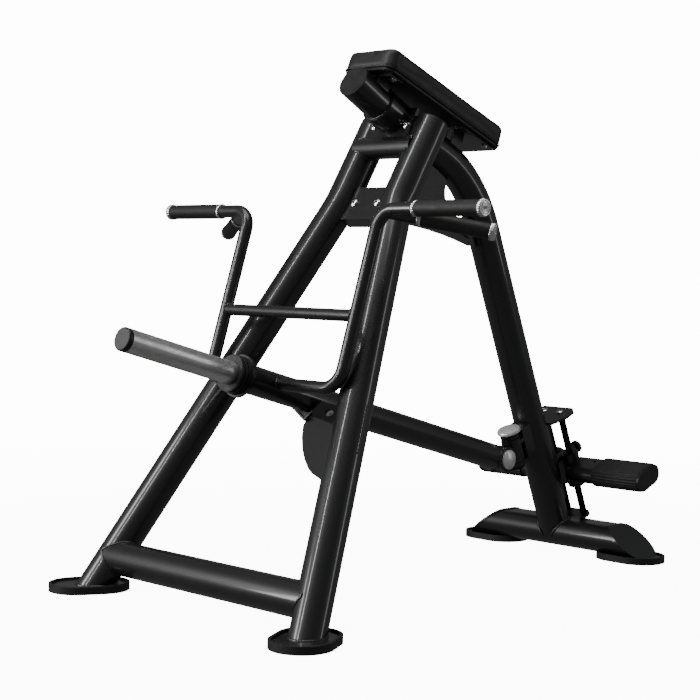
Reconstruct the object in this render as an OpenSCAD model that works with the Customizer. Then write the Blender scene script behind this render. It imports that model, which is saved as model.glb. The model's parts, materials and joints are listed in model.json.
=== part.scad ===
// Lever row machine: a leaning mast and a two-legged front frame carry a chest pad;
// a long lever with a plate sleeve, a handle frame and grips turns on a two-axis pivot
// near the floor, and a footrest slides on two guide rods behind the mast.
// Millimetres. +Z up, X across the machine, -Y towards the plate sleeve.
// Origin: on the floor, in the symmetry plane, midway along the overall length.

/* [Front legs] */
// Outside diameter of the leg tubes
leg_d = 76; // [60:1:90]
// Half spread of the legs on the floor
leg_foot_x = 345; // [280:1:400]
// Leg axis at the floor, along Y
leg_foot_y = -560; // [-620:1:-500]
// Half spread of the legs above the bend
leg_knee_x = 88; // [80:1:110]
// Leg axis at the bend, along Y
leg_knee_y = -59; // [-100:1:-20]
// Height of the bend
leg_knee_z = 865; // [800:1:900]
// Rearward lean of the leg above the bend, per unit of height
leg_upper_lean = 0.614; // [0.5:0.01:0.7]
// Height of the leg tops
leg_top_z = 1050; // [1000:1:1100]

/* [Mast] */
// Outside diameter of the mast
mast_d = 80; // [70:1:90]
// Mast axis at the floor, along Y
mast_foot_y = 680; // [640:1:720]
// Forward lean of the mast in degrees
mast_lean = 22.38; // [15:0.1:30]
// Height of the mast bend corner
mast_knee_z = 951; // [900:1:1000]
// Bend radius of the mast axis
mast_bend_r = 330; // [250:5:400]
// Rise of the head tube above the horizontal, in degrees
head_rise = 29; // [20:0.5:40]
// Outside diameter of the head tube
head_d = 76; // [60:1:79]
// Front end of the head tube, along Y
head_tip_y = -114; // [-140:1:-80]

/* [Pad] */
// Pad width
pad_w = 155; // [120:5:300]
// Pad length
pad_l = 428; // [300:1:500]
// Cushion thickness
pad_t = 49; // [30:1:70]
// Pad slope in degrees
pad_slope = 21.9; // [10:0.1:35]

/* [Lever] */
// Outside diameter of the lever tube
lever_d = 63.5; // [50:0.5:76]
// Rise of the lever at rest, in degrees
lever_rise = 15.5; // [5:0.5:25]
// Pitch axle to stop flange
lever_l = 884; // [700:1:1000]
// Plate sleeve diameter
sleeve_d = 50; // [25:1:50]
// Plate sleeve length
sleeve_l = 318; // [200:1:420]

/* [Handles] */
// Handle tube diameter
handle_d = 29; // [22:1:34]
// Pitch axle to handle frame
handle_u = 797; // [750:1:840]
// Rearward lean of the handle frame out of square to the lever, in degrees
handle_lean = 1.7; // [0:0.1:5]
// Half width of the handle frame
handle_x = 206; // [180:1:240]
// Height of the upper grips above the lever axis
handle_h = 399; // [350:1:450]
// Grip diameter
grip_d = 34; // [28:1:40]

/* [Footrest] */
// Half length of the footrest
foot_x = 260; // [200:1:300]
// Guide rod diameter
rod_d = 18; // [12:1:25]
// Half spacing of the guide rods
rod_x = 25; // [24:0.5:40]
// Distance between the lock holes
hole_pitch = 25; // [20:1:40]

/* [Hidden] */
$fn = 96;
wall = 3;
eps = 0.02;
run_gap = 0.05;
weld = 1;
foot_rise = 13;
steel = [0.05, 0.05, 0.055];
chrome = [0.8, 0.8, 0.82];
black = [0.03, 0.03, 0.03];

// ---------- vectors and tube helpers ----------

function unit(v) = v / norm(v);

// Child Z axis is turned from a towards b, with its origin at a.
module from_to(a, b) {
    d = b - a;
    translate(a)
        rotate([0, acos(d[2] / norm(d)), atan2(d[1], d[0])])
            children();
}

module rod_between(a, b, r) {
    from_to(a, b)
        cylinder(h = norm(b - a), r = r);
}

module ring(r, t) {
    difference() {
        circle(r = r);
        if (t > 0)
            circle(r = r - t);
    }
}

// Round bar, or a tube of wall t, along a, corner, b with a bend of radius bend_r.
module bent_bar(a, corner, b, bend_r, r, t = 0) {
    d1 = unit(corner - a);
    d2 = unit(b - corner);
    turn = acos(d1 * d2);
    tangent = bend_r * tan(turn / 2);
    start = corner - d1 * tangent;
    finish = corner + d2 * tangent;
    n = unit(cross(d1, d2));
    e1 = -cross(n, d1);
    c = start - e1 * bend_r;
    multmatrix([
        [e1[0], d1[0], n[0], c[0]],
        [e1[1], d1[1], n[1], c[1]],
        [e1[2], d1[2], n[2], c[2]],
        [0, 0, 0, 1]
    ]) {
        translate([bend_r, -norm(start - a), 0])
            rotate([-90, 0, 0])
                linear_extrude(norm(start - a))
                    ring(r, t);
        rotate_extrude(angle = turn)
            translate([bend_r, 0])
                ring(r, t);
        rotate(turn)
            translate([bend_r, 0, 0])
                rotate([-90, 0, 0])
                    linear_extrude(norm(b - finish))
                        ring(r, t);
    }
}

module both_sides() {
    for (side = [0, 1])
        mirror([side, 0, 0])
            children();
}

// Flat oval with its long axis on X.
module oval(length, width) {
    square([length - width, width], center = true);
    for (s = [-1, 1])
        translate([s * (length - width) / 2, 0])
            circle(d = width);
}

module rounded_rect(x, y, r) {
    square([x - 2 * r, y], center = true);
    square([x, y - 2 * r], center = true);
    for (i = [-1, 1], j = [-1, 1])
        translate([i * (x / 2 - r), j * (y / 2 - r)])
            circle(r = r);
}

// Button head with a socket, base on z = 0.
module bolt_head(r, h) {
    difference() {
        intersection() {
            cylinder(r = r, h = h);
            translate([0, 0, h - 1.7 * r])
                sphere(r = 1.7 * r);
        }
        translate([0, 0, h * 0.4])
            cylinder(r = r * 0.42, h = h);
    }
}

// ---------- placements ----------

// Mast frame: Z up the mast axis from the floor, Y behind the mast.
module on_mast(s = 0) {
    translate([0, mast_foot_y, 0])
        rotate([mast_lean, 0, 0])
            translate([0, 0, s])
                children();
}

yaw_y = -83;
pitch_y = -144;
pitch_s = 334;
pivot_y = mast_foot_y + pitch_y * cos(mast_lean) - pitch_s * sin(mast_lean);
pivot_z = pitch_y * sin(mast_lean) + pitch_s * cos(mast_lean);

// Lever frame: origin on the pitch axle, Z along the lever towards the sleeve, Y up.
module on_lever(u = 0) {
    translate([0, pivot_y, pivot_z])
        rotate([90 - lever_rise, 0, 0])
            translate([0, 0, u])
                children();
}

// Head tube axis: height of the axis at a given Y.
head_tip_z = 1139.5;
function head_z(y) = head_tip_z - (y - head_tip_y) * tan(head_rise);

// Head frame: origin at the tip of the head tube, Z rearward and down its axis.
module on_head(s = 0) {
    translate([0, head_tip_y, head_tip_z])
        rotate([-90 - head_rise, 0, 0])
            translate([0, 0, s])
                children();
}

pad_front_y = -76.5;
pad_front_z = 1173.7;

// Pad frame: origin at the front edge of the cushion underside, Y down the pad.
module on_pad() {
    translate([0, pad_front_y, pad_front_z])
        rotate([-pad_slope, 0, 0])
            children();
}

// ---------- front frame ----------

leg_foot = [leg_foot_x, leg_foot_y, 0];
leg_knee = [leg_knee_x, leg_knee_y, leg_knee_z];
leg_run = leg_top_z - leg_knee_z;
leg_top = leg_knee + [0, leg_upper_lean * leg_run, leg_run];
leg_dir = unit([0, leg_upper_lean, 1]);
leg_bend_r = 220;
function leg_at(z) = leg_foot + (leg_knee - leg_foot) * z / leg_knee_z;
function upper_leg_at(z) = leg_knee + [0, leg_upper_lean, 1] * (z - leg_knee_z);

module leg() {
    color(steel)
        difference() {
            bent_bar(leg_foot - unit(leg_knee - leg_foot) * 60, leg_knee, leg_top,
                     leg_bend_r, leg_d / 2, wall);
            translate([leg_foot_x, leg_foot_y, foot_rise - 100])
                cube([400, 400, 200], center = true);
        }
}

module leg_end_caps() {
    color(black)
        both_sides()
            from_to(leg_top, leg_top + leg_dir) {
                cylinder(r = leg_d / 2 - 0.5, h = 4);
                translate([0, 0, -15])
                    cylinder(r = leg_d / 2 - wall - 0.1, h = 16);
            }
}

module lower_leg_cut() {
    both_sides()
        rod_between(leg_at(-100), leg_at(300), leg_d / 2 - weld);
}

module upper_leg_cut() {
    both_sides()
        rod_between(upper_leg_at(880), upper_leg_at(1200), leg_d / 2 - weld);
}

lower_tube_z = 71;
upper_tube_z = 997;
upper_tube_shift = -22;

module lower_cross_tube() {
    p = leg_at(lower_tube_z);
    color(steel)
        difference() {
            rod_between([-p[0], p[1], p[2]], p, leg_d / 2);
            rod_between([-400, p[1], p[2]], [400, p[1], p[2]], leg_d / 2 - wall);
            lower_leg_cut();
        }
}

upper_tube_d = 50;

module upper_cross_tube() {
    p = upper_leg_at(upper_tube_z) + [0, upper_tube_shift, 0];
    color(steel)
        difference() {
            rod_between([-p[0], p[1], p[2]], p, upper_tube_d / 2);
            rod_between([-400, p[1], p[2]], [400, p[1], p[2]], upper_tube_d / 2 - wall);
            upper_leg_cut();
        }
}

// Bar on the head tube axis, used for holes through the parts around it.
module head_bar(r, length) {
    on_head(-50)
        cylinder(r = r, h = length);
}

// Saddle: a plate square to the head tube, welded between the legs round the collar.
saddle_s = 152;
saddle_t = 8;
saddle_bolt_x = 50;
saddle_bolt_drop = 20;

module at_saddle_bolts() {
    on_head(saddle_s)
        for (s = [-1, 1])
            translate([s * saddle_bolt_x, saddle_bolt_drop, 0])
                children();
}

module saddle_plate() {
    color(steel)
        difference() {
            on_head(saddle_s)
                translate([-64, -26, 0])
                    cube([128, 88, saddle_t]);
            head_bar(collar_d / 2 - 0.5, 400);
            upper_leg_cut();
            at_saddle_bolts()
                translate([0, 0, -1])
                    cylinder(r = 5.5, h = saddle_t + 2);
        }
}

module saddle_bolts() {
    color(chrome)
        at_saddle_bolts() {
            mirror([0, 0, 1])
                bolt_head(9.5, 6.5);
            translate([0, 0, -1])
                cylinder(r = 5.4, h = saddle_t);
        }
}

// Front plate: a channel between the legs, parallel to them, lip folded back at its foot.
front_plate_z = 868;
front_bolt_x = 36;
front_bolt_z = 0;

module on_front_plate() {
    translate([0, leg_knee_y + leg_upper_lean * (front_plate_z - leg_knee_z) - 6, front_plate_z])
        rotate([-atan(leg_upper_lean), 0, 0])
            children();
}

module front_plate() {
    color(steel)
        difference() {
            on_front_plate() {
                translate([-60, -3, -43])
                    cube([120, 6, 86]);
                translate([-60, -3, -43])
                    cube([120, 34, 6]);
            }
            knee_cut();
            on_front_plate()
                for (s = [-1, 1])
                    translate([s * front_bolt_x, 10, front_bolt_z])
                        rotate([90, 0, 0])
                            cylinder(r = 4.5, h = 30);
        }
}

module knee_cut() {
    both_sides()
        bent_bar(leg_at(600), leg_knee, upper_leg_at(1000), leg_bend_r, leg_d / 2 - weld);
}

module front_plate_bolts() {
    color(chrome)
        on_front_plate()
            for (s = [-1, 1])
                translate([s * front_bolt_x, -3, front_bolt_z])
                    rotate([90, 0, 0]) {
                        bolt_head(9.5, 6.5);
                        translate([0, 0, -10])
                            cylinder(r = 4.4, h = 11);
                    }
}

// Gusset web in the symmetry plane, from the front plate to the mast.
web_t = 10;
window_y = 254;
window_z = 905;
window_r = 58;

module on_web(x) {
    translate([x, 0, 0])
        rotate([90, 0, 90])
            children();
}

module gusset_web() {
    color(steel)
        difference() {
            on_web(-web_t / 2)
                linear_extrude(web_t)
                    polygon([
                        [-82, 836], [0, 833], [85, 824], [150, 814], [199, 804], [244, 793],
                        [290, 780], [330, 778], [330, 880], [240, 950], [150, 990],
                        [90, 1010], [60, 975], [12, 907], [-34, 905]
                    ]);
            on_web(-web_t)
                translate([window_y, window_z])
                    cylinder(r = window_r, h = 2 * web_t);
            mast_shape(mast_d / 2 - weld);
            on_front_plate()
                translate([-20, -60, -60])
                    cube([40, 62.5, 150]);
            on_front_plate()
                translate([-20, -60, -60])
                    cube([40, 100, 22]);
            for (k = [0, 1])
                on_web(-web_t)
                    translate([tab_bolt_y + 20 * k, tab_bolt_z - 8 * k])
                        cylinder(r = 3.5, h = 2 * web_t);
        }
}

tab_bolt_y = 262;
tab_bolt_z = 820;

module gusset_tab() {
    color(steel)
        difference() {
            on_web(web_t / 2)
                translate([tab_bolt_y + 10, tab_bolt_z - 4])
                    rotate(-22)
                        linear_extrude(5)
                            rounded_rect(48, 24, 6);
            for (k = [0, 1])
                on_web(-web_t)
                    translate([tab_bolt_y + 20 * k, tab_bolt_z - 8 * k])
                        cylinder(r = 3.5, h = 3 * web_t);
        }
}

module gusset_bolts() {
    color(chrome)
        for (k = [0, 1])
            on_web(web_t / 2 + 5)
                translate([tab_bolt_y + 20 * k, tab_bolt_z - 8 * k, 0]) {
                    bolt_head(6.5, 4.5);
                    translate([0, 0, -web_t - 2])
                        cylinder(r = 3.4, h = web_t + 3);
                }
}

// ---------- lever rest ----------

rest_u = 600;
rest_len = 88;
cradle_t = 5;
cradle_arm = 60;
cradle_gap = 5;
arm_near = 47;
arm_far = 151;
half_open = (arm_far - arm_near) / 2;
apex_out = (lever_d / 2 + cradle_gap) / sin(half_open);
cradle_apex = -apex_out * [cos(arm_near + half_open), sin(arm_near + half_open)];

// Space between the two arms of the cradle, grown by extra below them.
module cradle_v(extra, h) {
    a = cradle_apex * (1 + extra / (lever_d / 2 + cradle_gap));
    near = (cradle_arm + extra) * [cos(arm_near), sin(arm_near)];
    far = (cradle_arm + extra) * [cos(arm_far), sin(arm_far)];
    linear_extrude(h)
        polygon([a, a + near, a + near + far, a + far]);
}

module rest_cradle() {
    color(steel)
        on_lever(rest_u)
            difference() {
                cradle_v(cradle_t, rest_len);
                translate([0, 0, -1])
                    cradle_v(0, rest_len + 2);
                for (arm = [arm_near, arm_far])
                    translate([cradle_apex[0], cradle_apex[1], -1])
                        rotate(arm)
                            translate([cradle_arm, -50, 0])
                                cube([40, 100, rest_len + 2]);
            }
}

rest_dir_x = 0.885;
rest_dir_y = -0.466;
rest_origin_y = -236;

module rest_plate() {
    color(steel)
        difference() {
            translate([0, rest_origin_y, 0])
                rotate([90, 0, atan2(rest_dir_y, rest_dir_x)])
                    translate([0, 0, -4])
                        linear_extrude(8)
                            polygon([
                                [14, 400], [0, 388], [-26, 372], [-35, 346], [-28, 318], [-9, 298],
                                [23, 281], [56, 275], [102, 272], [200, 266], [290, 264],
                                [262, 396], [120, 400]
                            ]);
            on_lever(rest_u - 200)
                cradle_v(cradle_t - 0.5, 600);
            lower_leg_cut();
            rod_between(leg_at(200), leg_at(600), leg_d / 2 - weld);
        }
}

module rest_pad() {
    color(black)
        on_lever(rest_u + 4)
            difference() {
                cradle_v(-0.3, rest_len - 8);
                translate([0, 60 - lever_d / 2 - 0.1, -1])
                    linear_extrude(rest_len)
                        square([200, 120], center = true);
            }
}

module rest_bolt() {
    color(chrome)
        on_lever(rest_u + 44)
            translate([cradle_apex[0], cradle_apex[1], 0])
                rotate([0, 0, arm_near])
                    translate([38, -cradle_t, 0])
                        rotate([90, 0, 0])
                            bolt_head(9, 6);
}

// ---------- mast and head ----------

mast_knee = [0, mast_foot_y - mast_knee_z * tan(mast_lean), mast_knee_z];
collar_d = 88;
collar_front = 95;
collar_len = 78;
mast_end_y = head_tip_y + (collar_front + collar_len) * cos(head_rise);
mast_end = [0, mast_end_y, head_z(mast_end_y)];
mast_top = mast_end + unit(mast_end - mast_knee) * 5;
base_z = foot_rise + 35;
base_y = 680;
base_h = 70;
base_depth = 120;
mast_low_z = 38;

module mast_shape(r, t = 0) {
    bent_bar([0, mast_foot_y, 0], mast_knee, mast_top, mast_bend_r, r, t);
}

module mast() {
    color(steel)
        difference() {
            mast_shape(mast_d / 2, wall);
            base_bar(-weld, 600);
            translate([0, mast_foot_y, mast_low_z - 200])
                cube([200, 400, 400], center = true);
        }
}

module mast_collar() {
    color(steel)
        difference() {
            on_head(collar_front)
                cylinder(r = collar_d / 2, h = collar_len);
            on_head(collar_front - 1)
                cylinder(r = head_d / 2 + eps, h = collar_len + 2);
        }
}

module head_tube() {
    color(steel)
        difference() {
            on_head(3)
                cylinder(r = head_d / 2, h = collar_front + collar_len - 6);
            on_head(0)
                cylinder(r = head_d / 2 - wall, h = 400);
        }
}

module head_cap() {
    color(black)
        on_head(0) {
            cylinder(r = head_d / 2, h = 3);
            translate([0, 0, 2])
                cylinder(r = head_d / 2 - wall - 0.1, h = 16);
        }
}

// ---------- rear base and feet ----------

base_slope_x = 170;
base_slope = 37.3;

module base_bar(grow, length) {
    translate([-length / 2, base_y, base_z])
        rotate([90, 0, 90])
            linear_extrude(length)
                oval(base_depth + 2 * grow, base_h + 2 * grow);
}

// Slab lying on the sloped end of the base tube, from height a to height b above it.
module base_end_slab(a, b) {
    translate([base_slope_x, base_y, base_z + base_h / 2])
        rotate([0, base_slope, 0])
            translate([-200, -200, a])
                cube([400, 400, b - a]);
}

module base_tube() {
    color(steel)
        difference() {
            base_bar(0, 600);
            base_bar(-wall, 602);
            both_sides()
                base_end_slab(0, 300);
        }
}

module base_end_plates() {
    color(steel)
        both_sides()
            difference() {
                intersection() {
                    base_bar(2, 700);
                    base_end_slab(0, 6);
                }
                translate([0, base_y, foot_rise - 100])
                    cube([900, 300, 200], center = true);
            }
}

front_foot_x = 350;
front_foot_y = -566;
rear_foot_x = 218;
rear_foot_y = 683;
front_toe = 27;
plate_l = 166;
plate_w = 116;
rim = 7;

module at_feet() {
    both_sides() {
        translate([front_foot_x, front_foot_y, 0])
            rotate(90 + front_toe)
                children();
        translate([rear_foot_x, rear_foot_y, 0])
            children();
    }
}

module foot_plates() {
    color(steel)
        at_feet()
            translate([0, 0, foot_rise - 6])
                linear_extrude(6)
                    oval(plate_l, plate_w);
}

module foot_pads() {
    color(black)
        at_feet()
            difference() {
                linear_extrude(foot_rise + 4)
                    oval(plate_l + 2 * rim, plate_w + 2 * rim);
                translate([0, 0, foot_rise - 6])
                    linear_extrude(20)
                        oval(plate_l + 2 * eps, plate_w + 2 * eps);
            }
}

// ---------- two-axis pivot ----------

yaw_r = 12;
pitch_r = 10;
ear_r = 26;
ear_t = 10;
ear_low = 290;
ear_high = 346;

module yoke_ear(s) {
    on_mast(s)
        linear_extrude(ear_t) {
            translate([0, yaw_y])
                circle(r = ear_r);
            translate([-ear_r, yaw_y])
                square([2 * ear_r, -yaw_y - 36]);
        }
}

module pivot_yoke() {
    color(steel)
        difference() {
            union() {
                yoke_ear(ear_low);
                yoke_ear(ear_high);
                on_mast(ear_low)
                    translate([-ear_r, -52, 0])
                        cube([2 * ear_r, 22, 88]);
                both_sides()
                    on_mast(ear_low)
                        translate([ear_r - 6, -64, 0])
                            cube([6, 30, 88]);
            }
            mast_shape(mast_d / 2 - weld);
            on_mast(ear_low - 20)
                translate([0, yaw_y, 0])
                    cylinder(r = yaw_r + eps, h = 120);
        }
}

module yaw_pin() {
    color(steel)
        on_mast()
            translate([0, yaw_y, 0]) {
                translate([0, 0, ear_low - 2])
                    cylinder(r = yaw_r, h = ear_high + ear_t + 4 - ear_low);
                translate([0, 0, ear_low - 10])
                    cylinder(r = 19, h = 9.9);
            }
}

module yaw_cap() {
    color(chrome)
        on_mast(ear_high + ear_t)
            translate([0, yaw_y, 0])
                difference() {
                    rotate_extrude()
                        polygon([
                            [0, 0], [25, 0], [25, 6], [22, 7], [22, 10], [25, 11], [25, 16],
                            [22, 17], [22, 22.5], [30, 22.5], [30, 27], [28, 30], [20, 32.5], [0, 34]
                        ]);
                    translate([0, 0, -1])
                        cylinder(r = yaw_r + eps, h = 8);
                }
}

lug_w = 28;
bush_wall = 3;

module swivel_block() {
    color(steel)
        difference() {
            union() {
                on_mast(ear_low + ear_t + 0.5)
                    translate([0, yaw_y, 0])
                        cylinder(r = 24, h = ear_high - ear_low - ear_t - 1);
                on_mast(pitch_s - 16)
                    translate([-lug_w / 2 + 2, pitch_y, 0])
                        cube([lug_w - 4, yaw_y - pitch_y, 26]);
                on_pitch_axis(-lug_w / 2)
                    cylinder(r = 18, h = lug_w);
            }
            on_mast(ear_low)
                translate([0, yaw_y, 0])
                    cylinder(r = yaw_r + bush_wall + eps, h = 80);
            on_pitch_axis(-lug_w)
                cylinder(r = pitch_r + bush_wall + eps, h = 2 * lug_w);
        }
}

// Pitch axle frame: Z along +X from the symmetry plane.
module on_pitch_axis(x) {
    translate([x, pivot_y, pivot_z])
        rotate([0, 90, 0])
            children();
}

module bush(r, h) {
    difference() {
        cylinder(r = r + bush_wall, h = h);
        translate([0, 0, -1])
            cylinder(r = r + run_gap, h = h + 2);
    }
}

module pivot_bushes() {
    color([0.6, 0.5, 0.3]) {
        for (s = [ear_low + ear_t + 0.5, ear_high - 20.5])
            on_mast(s)
                translate([0, yaw_y, 0])
                    bush(yaw_r, 20);
        on_pitch_axis(-lug_w / 2)
            bush(pitch_r, lug_w);
    }
}

housing_r = 31;
housing_w = 66;

module lever_housing() {
    color(steel)
        difference() {
            on_pitch_axis(-housing_w / 2)
                cylinder(r = housing_r, h = housing_w);
            on_pitch_axis(-housing_w)
                cylinder(r = pitch_r + eps, h = 2 * housing_w);
            on_lever(-60)
                translate([-lug_w / 2 - 0.5, -60, 0])
                    cube([lug_w + 1, 120, 80]);
        }
}

module pitch_axle() {
    color(steel)
        on_pitch_axis(-housing_w / 2 - 4)
            cylinder(r = pitch_r, h = housing_w + 8);
}

module pitch_caps() {
    color(chrome)
        both_sides()
            on_pitch_axis(housing_w / 2 + 0.1)
                difference() {
                    intersection() {
                        cylinder(r = 24, h = 12);
                        translate([0, 0, -33])
                            sphere(r = 44);
                    }
                    translate([0, 0, -1])
                        cylinder(r = pitch_r + eps, h = 5.2);
                }
}

// ---------- lever ----------

flange_t = 9;
bumper_t = 25;

module lever_tube() {
    color(steel)
        difference() {
            on_lever(20)
                cylinder(r = lever_d / 2, h = lever_l - 20);
            on_lever(10)
                cylinder(r = lever_d / 2 - wall, h = lever_l);
            on_pitch_axis(-60)
                cylinder(r = housing_r - weld, h = 120);
        }
}

module stop_flange() {
    color(steel)
        on_lever(lever_l)
            cylinder(r = 46, h = flange_t);
}

module stop_bumper() {
    color(black)
        on_lever(lever_l + flange_t)
            difference() {
                union() {
                    cylinder(r = 38, h = bumper_t);
                    for (k = [0:2])
                        translate([0, 0, 9 * k])
                            cylinder(r = 42 - k, h = 6.5);
                }
                translate([0, 0, -1])
                    cylinder(r = 20 + eps, h = bumper_t + 2);
            }
}

module plate_sleeve() {
    color(chrome)
        on_lever(lever_l + flange_t) {
            cylinder(r = 20, h = bumper_t + 1);
            translate([0, 0, bumper_t])
                cylinder(r = sleeve_d / 2, h = sleeve_l - bumper_t - 12);
        }
}

module sleeve_cap() {
    color(black)
        on_lever(lever_l + flange_t + sleeve_l - 12)
            rotate_extrude()
                polygon([
                    [0, 0], [sleeve_d / 2, 0], [sleeve_d / 2, 9], [sleeve_d / 2 - 1, 11],
                    [sleeve_d / 2 - 3, 12], [0, 12]
                ]);
}

// ---------- handles ----------

bar_low_h = 6;
crossbar_h = 165;
grip_in = 303;
grip_out = 494;
end_len = 12;
collar_w = 10;
handle_r = handle_d / 2;

// Handle frame: origin on the lever axis, X across, Y up the frame.
module on_handle() {
    on_lever(handle_u)
        rotate([-handle_lean, 0, 0])
            children();
}

module handle_side(r) {
    mid = [handle_x, 220, 0];
    on_handle() {
        bent_bar([0, bar_low_h, 0], [handle_x, bar_low_h, 0], mid, 46, r);
        bent_bar(mid, [handle_x, handle_h, 0], [grip_out - 6, handle_h, 0], 44, r);
    }
}

module handle_frame() {
    color(steel)
        difference() {
            both_sides()
                handle_side(handle_r);
            on_lever(handle_u - 60)
                cylinder(r = lever_d / 2 - weld, h = 120);
        }
}

module handle_crossbar() {
    color(steel)
        difference() {
            on_handle()
                rod_between([-handle_x, crossbar_h, 0], [handle_x, crossbar_h, 0], 13);
            both_sides()
                handle_side(handle_r - weld);
        }
}

rear_from = [228, 393, 0];
rear_dir = unit([200, -3, -132]);
rear_len = 232;

// Frame along a lateral grip, Z outwards.
module on_grip(t) {
    on_handle()
        translate([t, handle_h, 0])
            rotate([0, 90, 0])
                children();
}

// Frame along a rear handle, Z outwards.
module on_rear(t) {
    on_handle()
        from_to(rear_from + rear_dir * t, rear_from + rear_dir * (t + 1))
            children();
}

module rear_handles() {
    color(steel)
        difference() {
            both_sides()
                on_rear(0)
                    cylinder(r = handle_r, h = rear_len - 6);
            both_sides()
                handle_side(handle_r - weld);
        }
}

module sleeve_on_tube(r, h) {
    difference() {
        cylinder(r = r, h = h);
        translate([0, 0, -1])
            cylinder(r = handle_r + eps, h = h + 2);
    }
}

module end_cap() {
    difference() {
        cylinder(r = grip_d / 2 + 1.5, h = end_len);
        translate([0, 0, -1])
            cylinder(r = handle_r + eps, h = end_len - 4);
        translate([0, 0, end_len - 3])
            cylinder(r = 3, h = 4);
    }
}

rear_grip_in = 65;
grip_len = grip_out - grip_in - collar_w - end_len;
rear_grip_len = rear_len - rear_grip_in - collar_w - end_len;

module grips() {
    color(black)
        both_sides() {
            on_grip(grip_in + collar_w + eps)
                sleeve_on_tube(grip_d / 2, grip_len - 2 * eps);
            on_rear(rear_grip_in + collar_w + eps)
                sleeve_on_tube(grip_d / 2, rear_grip_len - 2 * eps);
        }
}

module grip_collars() {
    color(chrome)
        both_sides() {
            on_grip(grip_in)
                sleeve_on_tube(grip_d / 2 + 0.6, collar_w);
            on_rear(rear_grip_in)
                sleeve_on_tube(grip_d / 2 + 0.6, collar_w);
        }
}

module grip_ends() {
    color(chrome)
        both_sides() {
            on_grip(grip_out - end_len)
                end_cap();
            on_rear(rear_len - end_len)
                end_cap();
        }
}

// ---------- footrest and its guide ----------

rod_y = 93.4;
rod_low = 64;
rod_high = 345;
slider_low = 145;
slider_high = 236;
collar_r = 22;
liner_r = 12;
foot_s = 189;
foot_depth = 88;
foot_h = 44;
tread_in = 115;
lock_s = 221;
rail_face = 52;
rail_w = 28;
holes_down = 3;
holes_up = 4;
tip_r = 5;
stem_r = 6;
block_rear = rod_y + 15;

module at_rods(s) {
    for (side = [-1, 1])
        on_mast(s)
            translate([side * rod_x, rod_y, 0])
                children();
}

module rod_top_plate() {
    color(steel)
        difference() {
            on_mast(rod_high)
                linear_extrude(6)
                    polygon([
                        [-41, 30], [41, 30], [61, 70], [61, 104], [45, 122],
                        [-45, 122], [-61, 104], [-61, 70]
                    ]);
            mast_shape(mast_d / 2 - weld);
            at_rods(rod_high - 1)
                cylinder(r = 4.5, h = 10);
        }
}

module rod_foot_plate() {
    color(steel)
        difference() {
            on_mast(rod_low - 8)
                linear_extrude(8)
                    polygon([[-45, 30], [45, 30], [45, 93], [36, 102.2], [-36, 102.2], [-45, 93]]);
            mast_shape(mast_d / 2 - weld);
            base_bar(-weld, 600);
        }
}

module guide_rods() {
    color(chrome)
        difference() {
            at_rods(rod_low)
                cylinder(r = rod_d / 2, h = rod_high - rod_low);
            at_rods(rod_high - 16)
                cylinder(r = 4.5, h = 20);
        }
}

module rod_bolts() {
    color(chrome)
        at_rods(rod_high + 6) {
            bolt_head(9.5, 6.5);
            translate([0, 0, -20])
                cylinder(r = 4.4, h = 21);
        }
}

module index_rail() {
    color(steel)
        difference() {
            on_mast(125)
                translate([-rail_w / 2, 30, 0])
                    cube([rail_w, rail_face - 30, 212]);
            mast_shape(mast_d / 2 - weld);
            for (k = [-holes_down:holes_up])
                on_mast(lock_s + k * hole_pitch)
                    translate([0, mast_d / 2 + 0.5, 0])
                        rotate([-90, 0, 0])
                            cylinder(r = tip_r + run_gap, h = 20);
        }
}

module slider_block() {
    color(steel)
        difference() {
            union() {
                at_rods(slider_low)
                    cylinder(r = collar_r, h = slider_high - slider_low);
                on_mast(slider_low + 5)
                    translate([-24, rod_y - 15, 0])
                        cube([48, 30, lock_s + 14 - slider_low - 5]);
            }
            at_rods(slider_low - 10)
                cylinder(r = liner_r + eps, h = 120);
            on_mast(lock_s)
                translate([0, rod_y - 30, 0])
                    rotate([-90, 0, 0])
                        cylinder(r = stem_r + run_gap, h = 60);
        }
}

module slider_liner() {
    difference() {
        union() {
            cylinder(r = liner_r, h = 20);
            translate([0, 0, -3])
                cylinder(r = 17, h = 3);
        }
        translate([0, 0, -4])
            cylinder(r = rod_d / 2 + run_gap, h = 30);
    }
}

module slider_liners() {
    color(black) {
        at_rods(slider_low)
            slider_liner();
        at_rods(slider_high)
            mirror([0, 0, 1])
                slider_liner();
    }
}

// Footrest section frame: extrusion along +X, local X behind the mast, local Y up it.
module on_foot(x) {
    on_mast(foot_s)
        translate([x, rod_y - 1, 0])
            rotate([90, 0, 90])
                children();
}

module footrest_tubes() {
    color(steel)
        both_sides()
            difference() {
                on_foot(rod_x + 8)
                    linear_extrude(foot_x - 6 - rod_x - 8)
                        oval(foot_depth, foot_h);
                on_foot(rod_x)
                    linear_extrude(foot_x)
                        oval(foot_depth - 2 * wall, foot_h - 2 * wall);
                on_mast(slider_low - 30)
                    translate([rod_x, rod_y, 0])
                        cylinder(r = collar_r - weld, h = 150);
                on_foot(0)
                    translate([12, foot_h / 2 - 10, 92])
                        rotate([-90, 0, 0])
                            cylinder(r = 4, h = 20);
            }
}

module tread_section() {
    difference() {
        oval(foot_depth + 9, foot_h + 9);
        oval(foot_depth + 2 * eps, foot_h + 2 * eps);
        for (k = [-4:4], side = [-1, 1])
            translate([k * 8, side * (foot_h / 2 + 4.5)])
                square([2.4, 3.6], center = true);
    }
}

module footrest_treads() {
    color(black)
        both_sides()
            on_foot(tread_in)
                linear_extrude(foot_x - 6 - tread_in)
                    tread_section();
}

module footrest_ends() {
    color(black)
        both_sides()
            on_foot(foot_x - 6) {
                linear_extrude(6)
                    oval(foot_depth + 6, foot_h + 6);
                translate([0, 0, -12])
                    linear_extrude(12.5)
                        oval(foot_depth - 2 * wall - 0.2, foot_h - 2 * wall - 0.2);
            }
}

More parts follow.
